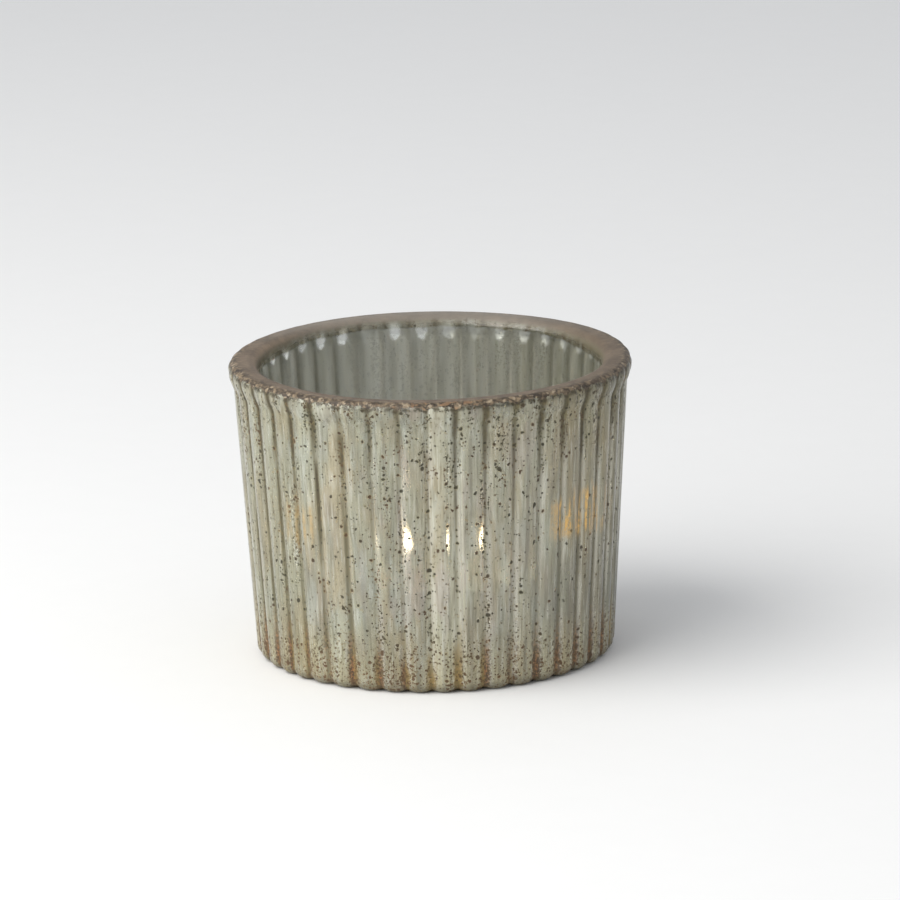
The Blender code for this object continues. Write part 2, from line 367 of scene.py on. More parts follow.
def silver_colour(s, at):
    """Sage with beige, grey and mauve drifts and upright hairlines, with painted highlights on the flanks
    that face left, painted light in the middle and painted shade at the right.
    """
    blotch = s.noise(9 * MM, seed=1, stretch=2.0, detail=3)
    taupe = s.ramp(s.noise(6 * MM, seed=4, stretch=3.0), 0.52, 0.70, 0.0, 0.5)
    cool = s.times(s.ramp(s.noise(3.0 * MM, seed=28, stretch=5.0, detail=3), 0.52, 0.66), s.inverse(at.right))
    mauve = s.times(s.ramp(s.noise(4.5 * MM, seed=29, stretch=4.0, detail=2), 0.52, 0.66), at.middle)
    # painted light: the middle of the front made paler and warmer, where the lamp falls fully
    painted_light = s.times(s.ramp(at.side, -12 * MM, 6 * MM), s.ramp(at.side, 30 * MM, 16 * MM))
    low = s.times(s.ramp(at.up, 0.10, 0.22), s.ramp(at.up, 0.50, 0.36))
    # painted ochre shade on the right side
    ochre_shade = s.times(s.ramp(at.side, 24 * MM, 34 * MM), s.ramp(at.up, 0.34, 0.50), 0.35)
    # painted highlight: the rib flanks that face left, towards the key lamp, made paler
    flank_highlight = s.times(s.ramp(at.across, 0.44, 0.70), s.ramp(at.across, 1.0, 0.86), s.ramp(at.lean, 0.0, -0.35))
    flank_highlight = s.times(flank_highlight, s.ramp(at.side, -22 * MM, -8 * MM), s.ramp(at.up, 0.94, 0.66))
    flank_highlight = s.times(flank_highlight, s.ramp(at.column, 0.30, 0.52))
    crest = s.times(s.ramp(at.across, 0.24, 0.06), s.ramp(at.column, 0.44, 0.60), s.inverse(at.left))
    return s.coats(
        s.colours(s.ramp(blotch, 0.40, 0.62), SAGE, BEIGE),
        (s.ramp(at.streak, 0.48, 0.66, 0.0, 0.5), GREY),
        (taupe, TAUPE),
        (s.ramp(at.tone, 0.0, 1.0, 0.0, 0.3), MOSS),
        (s.times(cool, 0.50), COOL_SILVER),
        (s.times(mauve, 0.45), MAUVE),
        (s.times(painted_light, 0.20), PAINTED_LIGHT_SILVER),
        (s.ramp(at.side, -22 * MM, -34 * MM, 0.0, 0.30), LEFT_OLIVE),
        # painted shade: the right side, away from the key lamp, darkened to grey and ochre, and to olive at
        # its far edge
        (s.times(at.right, s.values(low, 0.25, 0.60)), PAINTED_RIGHT_SHADE),
        (ochre_shade, PAINTED_OCHRE_SHADE),
        (s.times(at.near_foot, 0.40), FOOT_STRAW),
        (s.times(s.ramp(at.side, 37 * MM, 41.5 * MM), 0.7), PAINTED_EDGE_SHADE),
        (s.ramp(at.hair, 0.54, 0.68, 0.0, 0.42), DARK_HAIRLINE),
        (s.ramp(at.hair, 0.45, 0.33, 0.0, 0.40), PALE_HAIRLINE),
        (s.times(flank_highlight, 0.60), PAINTED_FLANK_HIGHLIGHT),
        (s.times(crest, 0.4), CREST_GREY),
    )


def windows(s, at):
    """Clear ovals that the silver left bare on the rib crests under the lip, at the back."""
    wide = s.times(at.across, 1 / WINDOW_REACH_ACROSS)
    high = s.times(s.plus(at.edge, WINDOW_DROP, clamp=False), 1 / WINDOW_REACH_UP)
    uneven = s.offset(s.noise(1.6 * MM, seed=26, detail=3), 1.6)
    away = s.plus(s.times(wide, wide), s.times(high, high), uneven, clamp=False)
    gap = beside(s, at.side, -13.5 * MM, 3.5 * MM, 1 * MM)
    back = s.ramp(s.axis("Y"), 4 * MM, 12 * MM)
    strength = s.times(s.ramp(at.side, 1 * MM, 4 * MM, 1.0, 0.4), s.ramp(at.tone, 0.0, 0.5, 0.45, 1.0))
    return s.times(s.ramp(away, 1.0, 0.15), s.inverse(gap), strength, back)


def painted_flame_reflections(s, at):
    """Painted reflections of the flame: amber streaks painted into the colour where the ribs at the right
    catch the flame, and a few faint ones at the left.
    """
    height = s.plus(at.up, s.offset(at.column, 0.10), clamp=False)
    band = beside(s, height, FLAME_REFLECTION_UP, 0.045, 0.05)
    strands = s.ramp(s.noise(1.1 * MM, seed=23, stretch=20.0, detail=2), 0.44, 0.62)
    broken = s.ramp(s.noise(0.9 * MM, seed=25, detail=2), 0.35, 0.55, 0.35, 1.0)
    right = s.times(beside(s, at.side, FLAME_REFLECTION_RIGHT, 3 * MM, 5 * MM), 0.95)
    left = s.times(beside(s, at.side, FLAME_REFLECTION_LEFT, 2 * MM, 2 * MM), 0.30)
    return s.times(band, strands, broken, at.front, s.plus(right, left))


def valley_dirt_and_foot_shadow(s, at, colour):
    """(colour, where dirt and painted shadow lie): valley lines, dirt under the lip, rust near the foot,
    yellow stains, and a painted shadow along the foot.
    """
    line = s.times(s.ramp(at.across, 0.72, 0.90), s.ramp(at.column, 0.68, 0.46, 0.55, 1.0))
    middle_share = s.times(at.middle, s.values(at.near_lip, 0.25, 0.7))
    line = s.times(line, s.plus(at.left, middle_share, s.times(at.right, 0.7)))
    core = s.times(s.ramp(at.across, 0.86, 0.95), s.ramp(at.column, 0.62, 0.46), s.ramp(at.up, 0.42, 0.72))
    core = s.times(core, s.values(at.middle, 0.85, 0.55))
    dirt_patch = s.ramp(s.noise(5 * MM, seed=5, stretch=2.0), 0.40, 0.54)
    dirt = s.times(s.ramp(at.up, 0.68, 0.92), at.wide_valley, dirt_patch, s.inverse(s.times(at.middle, 0.3)))
    rust_patch = s.ramp(s.noise(4 * MM, seed=6, stretch=3.0), 0.28, 0.46)
    jagged = s.plus(at.across, s.offset(at.fine, 0.9), clamp=False)
    rust = s.times(at.near_foot, s.ramp(jagged, 0.52, 0.78), rust_patch)
    rust_colour = s.coats(
        s.colours(s.ramp(at.fine, 0.38, 0.56), RUST, DARK_RUST),
        (s.ramp(at.tone, 0.55, 0.8, 0.0, 0.6), YELLOW_RUST),
    )
    stain_patch = s.ramp(s.noise(2.2 * MM, seed=7, detail=3), 0.40, 0.56)
    stain = s.times(s.ramp(at.up, 0.80, 0.96), s.ramp(at.side, 4 * MM, 14 * MM), stain_patch, at.wide_valley)
    # painted shadow: a dark line round the bottom of the foot, where it meets the floor
    painted_foot_shadow = s.times(s.ramp(at.up, 0.045, 0.012), 0.55)
    colour = s.coats(
        colour,
        (s.times(stain, 0.8), YELLOW_STAIN),
        (s.times(line, 0.9), VALLEY_LINE),
        (s.times(dirt, 0.85), LIP_DIRT),
        (core, VALLEY_CORE),
        (s.times(rust, 0.95), rust_colour),
        (painted_foot_shadow, PAINTED_FOOT_SHADOW),
    )
    return colour, s.plus(dirt, rust, s.times(line, 0.8), core, painted_foot_shadow)


def speckled(s, at, colour, bare_ovals):
    """(colour, specks, fringes): dark olive and rusty specks, gathered in upright columns."""
    clusters = s.ramp(s.noise(8 * MM, seed=8, stretch=2.5, detail=3), 0.44, 0.66)
    grimy = s.times(s.ramp(at.up, 0.60, 0.92), s.plus(at.rows, s.times(at.wide_valley, 0.5)))
    crowd = s.plus(0.20, s.times(clusters, 0.26), s.times(at.rows, 0.36), s.times(grimy, 0.45))
    sparse = s.times(s.ramp(at.side, 12 * MM, 28 * MM), s.ramp(at.up, 0.86, 0.70), s.ramp(at.up, 0.08, 0.20))
    crowd = s.times(crowd, s.inverse(s.times(sparse, 0.45)))
    crowd = s.plus(crowd, s.times(at.near_foot, 0.46), s.times(at.wide_valley, 0.26))
    crowd = s.times(crowd, s.inverse(bare_ovals))
    mottle, mottle_fringe = flecks(s, 0.65 * MM, crowd, seed=16)
    dust = s.spots(0.6 * MM, 0.44 * MM, s.times(crowd, 0.7), seed=11, ragged=0.18 * MM)
    fleck, fleck_halo = s.spots(
        1.05 * MM, 0.88 * MM, s.times(crowd, 0.55), seed=10, ragged=0.38 * MM, halo=1.6
    )
    drop, drop_halo = s.spots(2.6 * MM, 1.3 * MM, s.times(crowd, 0.20), seed=9, ragged=0.60 * MM, halo=1.6)
    fringes = s.plus(drop_halo, fleck_halo, mottle_fringe)
    specks = s.plus(drop, fleck, dust, mottle)
    hue = s.noise(5 * MM, seed=18, detail=2)
    speck_colour = s.coats(
        s.colours(s.ramp(hue, 0.36, 0.56), BROWN_SPECK, OLIVE_SPECK),
        (s.ramp(at.fine, 0.56, 0.74, 0.0, 0.5), PALE_SPECK),
        (s.times(at.near_foot, 0.6), FOOT_SPECK),
    )
    colour = s.coats(
        colour,
        (s.times(fringes, 0.5), s.colours(s.ramp(hue, 0.42, 0.60), TAN_FRINGE, OLIVE_FRINGE)),
        (s.times(specks, 0.95), speck_colour),
    )
    return colour, specks, fringes


def rim_cracks(s):
    """How far it is to the nearest crack in the rim."""
    cells = s.node("ShaderNodeTexVoronoi", feature="DISTANCE_TO_EDGE")
    s.feed(cells.inputs["Vector"], s.ragged(1.3 * MM, 2.4 * MM, seed=13))
    cells.inputs["Scale"].default_value = 1 / (2.0 * MM)
    return cells.outputs["Distance"]


def bronze_rim(s, at, colour):
    """(colour, on the rim, bare inside, copper glints, grain): brown, crackled, chipped, and fading inside,
    with painted sheen at the back, painted light and shade at the left and right, copper glints painted at
    the front and a painted shadow under it.
    """
    uneven = s.plus(s.offset(at.fine, 1.4 * MM), s.times(at.wide_valley, 0.7 * MM), clamp=False)
    ragged_edge = s.plus(at.edge, uneven, clamp=False)
    fading_edge = s.plus(at.edge, s.offset(s.noise(4 * MM, seed=20, detail=3), 1.6 * MM), clamp=False)
    at_side = s.ramp(s.math("ABSOLUTE", at.side), 25 * MM, 38 * MM)
    fade_from = s.values(at_side, 5.2 * MM, 6.6 * MM)
    bare = s.ramp(s.math("SUBTRACT", fading_edge, fade_from), 0.0, 3.2 * MM)
    on_rim = s.times(s.ramp(ragged_edge, -0.35 * MM, -0.1 * MM), s.inverse(bare))

    at_edge = s.ramp(at.edge, 3.0 * MM, 0.4 * MM)
    grain = s.noise(1.3 * MM, seed=12, detail=4, roughness=0.65)
    rough_rim = s.colours(s.ramp(grain, 0.42, 0.62), ROUGH_DARK, ROUGH_PALE)
    drift = s.ramp(s.noise(7 * MM, seed=24, detail=3), 0.38, 0.62)
    inner = s.times(s.ramp(at.edge, 4.2 * MM, 6.4 * MM), at_side)
    inner_light_and_shade = s.colours(at.right, RIM_INSIDE_PAINTED_LIGHT, RIM_INSIDE_PAINTED_SHADE)
    crack_shift = s.ramp(s.noise(3 * MM, seed=27, detail=2), 0.42, 0.58, 0.35, 1.0)
    crack = s.times(s.ramp(rim_cracks(s), 0.16, 0.03), at_edge, crack_shift)
    chip_noise = s.noise(1.3 * MM, seed=14, detail=3)
    chip = s.times(s.ramp(chip_noise, 0.58, 0.66), at_edge)
    # copper-coloured metallic flecks, set only on the front of the rim's outer edge: painted glints
    copper_glint_patch = s.times(s.ramp(chip_noise, 0.47, 0.40), s.ramp(s.noise(9 * MM, seed=19), 0.40, 0.55))
    copper_glints = s.times(copper_glint_patch, at_edge, beside(s, at.side, -2 * MM, 10 * MM, 6 * MM), at.front)
    rim = s.coats(
        s.colours(drift, RIM_DARK, RIM_PALE),
        (s.values(at_edge, 0.15, 0.8), rough_rim),
        # painted sheen: the rim paler and greyer towards the back; painted light and shade: its inner bevel
        # paler at the left and darker at the right, and the whole rim darker at the right
        (s.ramp(s.axis("Y"), 8 * MM, 40 * MM, 0.0, 0.6), PAINTED_RIM_SHEEN),
        (s.times(inner, 0.5), inner_light_and_shade),
        (s.times(at.right, 0.35), PAINTED_RIM_SHADE),
        (s.times(s.ramp(at.edge, 5.4 * MM, 7.0 * MM), 0.75), RIM_FOOT),
        (s.times(crack, 0.85), CRACK),
        (s.times(chip, 0.75), CHIP),
        (s.times(copper_glints, 0.5), PAINTED_COPPER_GLINT),
    )
    # painted shadow: a broken dark line on the wall just under the rim's lower edge
    rim_shadow = s.times(s.ramp(ragged_edge, -1.7 * MM, -0.6 * MM), s.ramp(ragged_edge, -0.05 * MM, -0.35 * MM))
    broken_rim_shadow = s.times(rim_shadow, s.ramp(grain, 0.40, 0.54), 0.85)
    return s.coats(colour, (broken_rim_shadow, PAINTED_RIM_SHADOW), (on_rim, rim)), on_rim, bare, copper_glints, grain


def silver_cover(s, at, window):
    """(how clear, how thin the silver is): thick in the valleys, thin in streaks, and thinnest in the middle.

    A thick stripe right of the middle hides the flame, except through two scratches in it.
    """
    thin = s.times(s.ramp(at.streak, 0.36, 0.62), s.ramp(at.across, 0.95, 0.72))
    see_through = s.values(at.middle, s.values(thin, 0.22, 0.46), s.values(thin, 0.45, 0.72))
    scratches = s.plus(*(beside(s, at.side, middle, reach, 0.2 * MM) for middle, reach in SCRATCHES))
    stripe = s.times(beside(s, at.side, STRIPE_X, STRIPE_REACH, 0.8 * MM), s.inverse(scratches), at.front)
    see_through = s.values(stripe, see_through, 0.01)
    return s.values(window, see_through, 0.95), thin


def silvered_glass():
    """Clear glass under a worn silver coat, speckled with dark olive and rust, with a taupe bronze rim, and
    with painted highlights, shade, shadows and flame reflections in its colour.
    """
    s = Surface("antiqued_silver_glass")
    at = cup_places(s)
    window = windows(s, at)
    colour = silver_colour(s, at)
    colour, dirt_and_shadow = valley_dirt_and_foot_shadow(s, at, colour)
    colour, specks, fringes = speckled(s, at, colour, window)
    # painted reflections of the flame, in the coat's colour
    colour = s.colours(painted_flame_reflections(s, at), colour, PAINTED_FLAME_REFLECTION)
    colour, on_rim, bare, copper_glints, grain = bronze_rim(s, at, colour)
    # painted light and shade inside: paler at the left, darker at the right, and paler in the valleys to
    # soften their shade
    inside_light_and_shade = s.colours(s.ramp(at.side, -26 * MM, 24 * MM), INSIDE_PAINTED_LIGHT, INSIDE_PAINTED_SHADE)
    inside_with_painted_light = s.colours(s.times(at.wide_valley, 0.5), inside_light_and_shade, INSIDE_VALLEY_PAINTED_LIGHT)
    clear_glass = s.plus(s.ramp(bare, 0.8, 1.0), s.times(window, s.values(at.inside, 0.4, 1.0)))
    colour = s.coats(colour, (s.times(at.inside, 0.85), inside_with_painted_light), (clear_glass, CLEAR_GLASS))

    see_through, thin = silver_cover(s, at, window)
    outside = s.inverse(s.times(at.inside, 0.8))
    solid = s.plus(s.times(s.plus(specks, s.times(fringes, 0.5), dirt_and_shadow), outside), s.times(on_rim, 0.98))
    clear = s.values(bare, s.times(see_through, s.inverse(solid)), 1.0)
    silver = s.times(s.inverse(solid), s.inverse(bare))
    mirror = s.times(s.values(at.valley, 0.55, 0.3), s.ramp(at.up, 0.97, 0.89, 0.2, 1.0))
    metal = s.plus(s.times(silver, mirror), s.times(on_rim, copper_glints, 0.5))

    satin = s.plus(s.times(at.inside, 0.25), s.ramp(at.up, 0.86, 0.94, 0.0, 0.16))
    coat_roughness = s.plus(s.values(at.valley, s.values(thin, 0.24, 0.09), 0.42), satin)
    coat_roughness = s.values(window, coat_roughness, 0.05)
    roughness = s.values(bare, s.values(solid, coat_roughness, 0.55), 0.03)
    rough_edge = s.times(on_rim, grain, s.ramp(at.edge, 3.5 * MM, 1.0 * MM, 0.3, 1.6))
    relief = s.plus(s.times(at.fine, 0.5), s.times(specks, -0.8), rough_edge, clamp=False)
    s.set(
        Base_Color=colour,
        Metallic=metal,
        Roughness=roughness,
        Transmission_Weight=clear,
        IOR=1.5,
        Normal=s.bump(s.times(s.inverse(bare), relief), 0.06 * MM),
    )
    return s.material


def foil():
    """Bright drawn aluminium with fine scratches round it."""
    s = Surface("drawn_aluminium")
    lines = s.noise(0.25 * MM, seed=1, stretch=0.08, detail=2)
    smudge = s.noise(6 * MM, seed=2, detail=3)
    colour = s.colours(smudge, srgb(196, 196, 192), srgb(220, 220, 216))
    s.set(
        Base_Color=colour,
        Metallic=1.0,
        Roughness=s.plus(s.ramp(smudge, 0.3, 0.7, 0.2, 0.34), s.times(lines, 0.12)),
        Normal=s.bump(lines, 0.02 * MM),
    )
    return s.material


def paraffin():
    """White wax, frosted at the wall and wet and clearer in the melted middle."""
    s = Surface("paraffin")
    flat = s.node("ShaderNodeVectorMath", operation="MULTIPLY")
    s.feed(flat.inputs[0], s.place)
    flat.inputs[1].default_value = (1, 1, 0)
    away = s.node("ShaderNodeVectorMath", operation="LENGTH")
    s.feed(away.inputs[0], flat.outputs[0])
    wobble = s.offset(s.noise(5 * MM, seed=1), 3 * MM)
    reach = s.plus(away.outputs["Value"], wobble, clamp=False)
    on_top = s.ramp(s.axis("Z"), WAX_HIGH.z - 1.6 * MM, WAX_HIGH.z - 1.2 * MM)
    pool = s.times(s.ramp(reach, 16.5 * MM, 15.0 * MM), on_top)
    grain = s.noise(0.8 * MM, seed=2, detail=4, roughness=0.65)
    dry = s.colours(grain, srgb(226, 221, 206), srgb(242, 239, 228))
    s.set(
        Base_Color=s.colours(pool, dry, srgb(232, 222, 196)),
        Roughness=s.values(pool, s.ramp(grain, 0.3, 0.7, 0.35, 0.6), 0.06),
        Subsurface_Weight=0.7,
        Subsurface_Radius=(1.0, 0.75, 0.5),
        Subsurface_Scale=3 * MM,
        Normal=s.bump(s.times(grain, s.inverse(pool)), 0.08 * MM),
    )
    return s.material


def charred_cotton():
    """Braided cotton, waxy below and burnt black above the pool."""
    s = Surface("charred_cotton")
    fibre = s.noise(0.16 * MM, seed=1, stretch=2.0, detail=3)
    uneven = s.plus(s.axis("Z"), s.times(fibre, 0.8 * MM), clamp=False)
    burnt = s.ramp(uneven, WAX_HIGH.z - 1 * MM, WAX_HIGH.z + 1 * MM)
    clean = s.colours(fibre, srgb(196, 186, 164), srgb(224, 216, 198))
    s.set(
        Base_Color=s.colours(burnt, clean, s.colours(fibre, srgb(20, 17, 15), srgb(52, 44, 38))),
        Roughness=s.values(burnt, 0.55, 0.9),
        Normal=s.bump(fibre, 0.08 * MM),
    )
    return s.material


def tinned_steel():
    """Dull plated steel with a faint bloom."""
    s = Surface("tinned_steel")
    bloom = s.noise(1.5 * MM, seed=1, detail=4, roughness=0.7)
    s.set(
        Base_Color=s.colours(bloom, srgb(158, 158, 156), srgb(200, 200, 197)),
        Metallic=1.0,
        Roughness=s.ramp(bloom, 0.3, 0.7, 0.28, 0.48),
        Normal=s.bump(bloom, 0.03 * MM),
    )
    return s.material


def flame_light():
    """Bright yellow white, dim and blue at the foot and orange at the tip."""
    s = Surface("flame_light")
    share = s.times(s.math("SUBTRACT", s.axis("Z"), FLAME_FOOT), 1 / FLAME_HEIGHT)
    colour = s.colours(s.ramp(share, 0.0, 0.30), (0.25, 0.35, 0.9), (1.0, 0.84, 0.64))
    colour = s.colours(s.ramp(share, 0.72, 1.0), colour, (1.0, 0.56, 0.20))
    strength = s.times(s.ramp(share, 0.22, 0.38, 0.6, 22.0), s.ramp(share, 0.98, 0.76, 0.12, 1.0))
    light = s.node("ShaderNodeEmission")
    s.feed(light.inputs["Color"], colour)
    s.feed(light.inputs["Strength"], strength)
    s.tree.links.new(light.outputs[0], s.tree.nodes["Material Output"].inputs["Surface"])
    s.tree.nodes.remove(s.shader)
    return s.material


def paper(name, colour, roughness):
    """A plain pale studio surface."""
    s = Surface(name)
    grain = s.noise(8 * MM, seed=1, detail=2)
    darker = tuple(0.985 * c for c in colour)
    s.set(Base_Color=s.colours(grain, darker, colour), Roughness=roughness)
    return s.material


# ---------------------------------------------------------------- shapes

def arc(centre, radius, start, end, steps):
    """Points (r, z) on an arc, its angles in degrees from +r towards +z."""
    angles = np.radians(np.linspace(start, end, steps + 1))
    return list(zip(centre[0] + radius * np.cos(angles), centre[1] + radius * np.sin(angles)))


def line(start, end, steps):
    """Points after start, up to and with end."""
    shares = np.linspace(0, 1, steps + 1)[1:]
    return [tuple(np.array(start) + share * (np.array(end) - np.array(start))) for share in shares]


def turn(columns):
    """Evenly spaced angles, once round."""
    return 2 * math.pi * np.arange(columns) / columns


def ring_at(radius, angle, height, x=0.0, y=0.0):
    """Points of these radii, angles and heights round a middle."""
    points = np.broadcast_arrays(x + radius * np.cos(angle), y + radius * np.sin(angle), height)
    return np.stack(points, axis=1)


def wave(angle, height, seed, turns=(2, 3, 5), pitch=60 * MM):
    """A smooth unevenness of about -1 to 1 over angle and height, which closes round the axis."""
    draw = np.random.default_rng(seed)
    total = 0.0
    for count in turns:
        start, rise = draw.uniform(0, 2 * math.pi), draw.uniform(-1, 1)
        total = total + np.sin(count * angle + start + 2 * math.pi * rise * height / pitch)
    return total / len(turns)


def mesh_of_rings(name, rings, closed=False):
    """A mesh through rings of points, with a pole for one of a single point. closed joins last to first."""
    starts, points = [], []
    for ring in rings:
        starts.append(len(points))
        points.extend(ring)
    pairs = list(zip(range(len(rings)), range(1, len(rings))))
    if closed:
        pairs.append((len(rings) - 1, 0))
    faces = []
    for low, high in pairs:
        a, b = starts[low], starts[high]
        count = max(len(rings[low]), len(rings[high]))
        for i in range(count):
            j = (i + 1) % count
            if len(rings[low]) == 1:
                faces.append((a, b + j, b + i))
            elif len(rings[high]) == 1:
                faces.append((a + i, a + j, b))
            else:
                faces.append((a + i, a + j, b + j, b + i))
    mesh = bpy.data.meshes.new(name)
    mesh.from_pydata([tuple(p) for p in points], [], faces)
    mesh.shade_smooth()
    return mesh


def placed(name, mesh, surface, body, replaced):
    """An object of this mesh that rides on a body and stands for a CAD node."""
    mesh.materials.append(surface)
    piece = bpy.data.objects.new(name, mesh)
    bpy.context.scene.collection.objects.link(piece)
    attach(piece, body)
    if replaced:
        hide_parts(replaced)


def point_values(mesh, name, values):
    """Stores a value for each point, for a material to read."""
    made = mesh.attributes.new(name, "FLOAT", "POINT")
    made.data.foreach_set("value", np.asarray(values, np.float32))


def cup_section():
    """(radius, height, rib depth, toe lift) along the cup's section, from the underside to the floor."""
    rows = [(0.0, KICK_DEPTH, 0, 0)]
    rows += [(r, KICK_DEPTH, 0, 0) for r in (8 * MM, 16 * MM, KICK_RADIUS - 3 * MM)]
    rows += [(r, z, 0, 0) for r, z in line((KICK_RADIUS - 1.6 * MM, KICK_DEPTH), (KICK_RADIUS, 0.05 * MM), 4)]
    rows += [(KICK_RADIUS + 1 * MM, 0.0, 0, 0), (FOOT_RADIUS - 4 * MM, 0.0, 0, 0)]
    rows += [(FOOT_RADIUS - 1.6 * MM, 0.0, 0.2, 0.1), (FOOT_RADIUS - 0.5 * MM, 0.0, 0.5, 0.4)]
    toe = (WALL_FOOT_RADIUS - FOOT_ROUNDING, FOOT_ROUNDING)
    for i, (r, z) in enumerate(arc(toe, FOOT_ROUNDING, -86, 0, 9)):
        rows.append((r, z, 1.35 - 0.35 * i / 9, 1 - i / 9))
    lip_foot = CUP_HEIGHT - LIP_HEIGHT
    wall = line((WALL_FOOT_RADIUS, FOOT_ROUNDING), (WALL_TOP_RADIUS, lip_foot), 30)
    rows += [(r, z, 1, 0) for r, z in wall]
    widest = CUP_HEIGHT - 1.15 * RIM_EDGE
    for i in range(1, 8):
        share = i / 8
        swell = share * share * (3 - 2 * share)
        height = lip_foot + share * (widest - lip_foot)
        rows.append((WALL_TOP_RADIUS + swell * (RIM_RADIUS - WALL_TOP_RADIUS), height, 1 - 0.35 * share, 0))
    outer = arc((RIM_RADIUS - RIM_EDGE, CUP_HEIGHT - RIM_EDGE), RIM_EDGE, -5, 90, 10)
    rows += [(r, z, 0.62 * (1 - i / 10), 0) for i, (r, z) in enumerate(outer)]
    inner = arc((MOUTH_RADIUS + MOUTH_EDGE, CUP_HEIGHT - MOUTH_EDGE), MOUTH_EDGE, 90, 180, 12)
    rows += [(r, z, 0, 0) for r, z in line(outer[-1], inner[0], 3)]
    rows += [(r, z, 0, 0) for r, z in inner[1:]]
    corner = arc((HOLLOW_FOOT_RADIUS - HOLLOW_ROUNDING, FLOOR + HOLLOW_ROUNDING), HOLLOW_ROUNDING, 0, -90, 8)
    rows += [(r, z, 0, 0) for r, z in line(inner[-1], corner[0], 24)]
    rows += [(r, z, 0, 0) for r, z in corner[1:]]
    rows += [(r, FLOOR, 0, 0) for r in (22 * MM, 14 * MM, 6 * MM)]
    return rows + [(0.0, FLOOR, 0, 0)]


def ribs_round():
    """What the ribs do at each column of points, once round the cup."""
    count = RIBS * STEPS_PER_RIB
    steps = np.arange(count)
    from_crest = 2 * (steps % STEPS_PER_RIB) / STEPS_PER_RIB - 1  # -1 and 1 in the valleys
    square = from_crest**2
    base = FIRST_VALLEY + 2 * math.pi * steps / count
    pitch = 2 * math.pi / RIBS
    rib_tone = np.random.default_rng(5).uniform(0, 1, RIBS)
    return SimpleNamespace(
        count=count,
        base=base,
        angle=base + 0.35 * pitch * wave(base, 0, 21, (3, 5, 8)) / 3,
        across=np.abs(from_crest),  # 1 in a valley, 0 on a crest
        lean=np.sin(math.pi * from_crest),  # under 0 left of a crest
        shape=(np.roll(square, 1) + 2 * square + np.roll(square, -1)) / 4,
        depth_share=1 + 0.18 * wave(base, 0, 22, (5, 9, 13)),
        tone=np.repeat(rib_tone, STEPS_PER_RIB),
    )


def cup_ring(ribs, r, z, depth, lift):
    """One ring of the cup, with its ribs, and a little uneven, as if pressed by hand."""
    sway = ribs.angle + 0.0022 * wave(ribs.base, z, 23, (4, 7, 11), 60 * MM)
    lump = (0.10 if depth > 0 else 0.06) * MM * (wave(ribs.base, z, 24) - 1)
    radius = r - depth * RIB_DEPTH * ribs.shape * ribs.depth_share + lump
    near_top = max(0.0, z / CUP_HEIGHT - 0.85)
    sag = 0.16 * MM * (wave(ribs.base, 0, 25, (1, 2, 4)) - 1) * near_top / 0.15
    return ring_at(radius, sway, z + lift * TOE_LIFT * ribs.shape + sag)


def ribbed_glass():
    """The cup as one closed body of glass."""
    rows = cup_section()
    ribs = ribs_round()
    section = np.array([(r, z) for r, z, _, _ in rows])
    along = np.concatenate([[0], np.cumsum(np.linalg.norm(np.diff(section, axis=0), axis=1))])
    top = next(i for i, (r, z) in enumerate(section) if z > CUP_HEIGHT - 0.75 * MM and r > MOUTH_RADIUS)
    edges = along - along[top]

    rings, values = [], {"across": [], "lean": [], "edge": [], "tone": []}
    for (r, z, depth, lift), edge in zip(rows, edges):
        if r == 0:
            rings.append([(0, 0, z)])
            ring_values = ([0.0], [0.0], [edge], [0.5])
        else:
            rings.append(cup_ring(ribs, r, z, depth, lift))
            ring_values = (ribs.across, ribs.lean, np.full(ribs.count, edge), ribs.tone)
        for name, added in zip(values, ring_values):
            values[name].append(added)
    mesh = mesh_of_rings("ribbed_glass", rings)
    for name, parts in values.items():
        point_values(mesh, name, np.concatenate(parts))
    placed("ribbed_glass", mesh, silvered_glass(), "holder", "glass_cup")


def turned_rings(section, columns, bend):
    """A section of (r, z) turned round Z, as rings of points. bend gives each ring's radii and heights."""
    angle = turn(columns)
    rings = []
    for r, z in section:
        if r == 0:
            rings.append([(0, 0, z)])
            continue
        radius, height = bend(angle, r, z)
        rings.append(ring_at(radius, angle, height))
    return rings


def foil_cup():
    """The tealight's cup: thin drawn foil with a dished foot, a rolled edge and faint upright draw marks."""
    low, high = FOIL_LOW.z, FOIL_HIGH.z
    dish = low + 0.25 * MM
    corner = 1.2 * MM
    round_at = (FOIL_RADIUS - corner, low + corner)
    foot = [(0.0, dish), (8 * MM, dish), (9 * MM, low), (15 * MM, low)]
    section = foot + arc(round_at, corner, -90, 0, 6)
    section += line(section[-1], (FOIL_RADIUS, high - 1.6 * MM), 8)
    section += arc((FOIL_RADIUS, high - BEAD_RADIUS), BEAD_RADIUS, -70, 130, 10)
    inner = FOIL_RADIUS - FOIL_WALL
    section += [(inner, high - 2 * BEAD_RADIUS)]
    section += line(section[-1], (inner, low + 1.3 * MM), 6)
    section += arc(round_at, corner - FOIL_WALL, 0, -90, 5)
    section += [(r, z + FOIL_WALL) for r, z in reversed(foot)]
    marks_top = high - 1.4 * MM

    def marks(angle, r, z):
        side = 1.0 if r > 0.9 * FOIL_RADIUS and z < marks_top else 0.0
        mark = 0.035 * MM * side * (np.sin(90 * angle) + 0.5 * wave(angle, z, 31, (17, 29)) - 1)
        return r + mark, np.full_like(angle, z) + 0.05 * MM * (wave(angle, 0, 32) - 1) * (z > marks_top)

    mesh = mesh_of_rings("foil_cup", turned_rings(section, 360, marks))
    placed("foil_cup", mesh, foil(), "tealight", "tealight_cup")


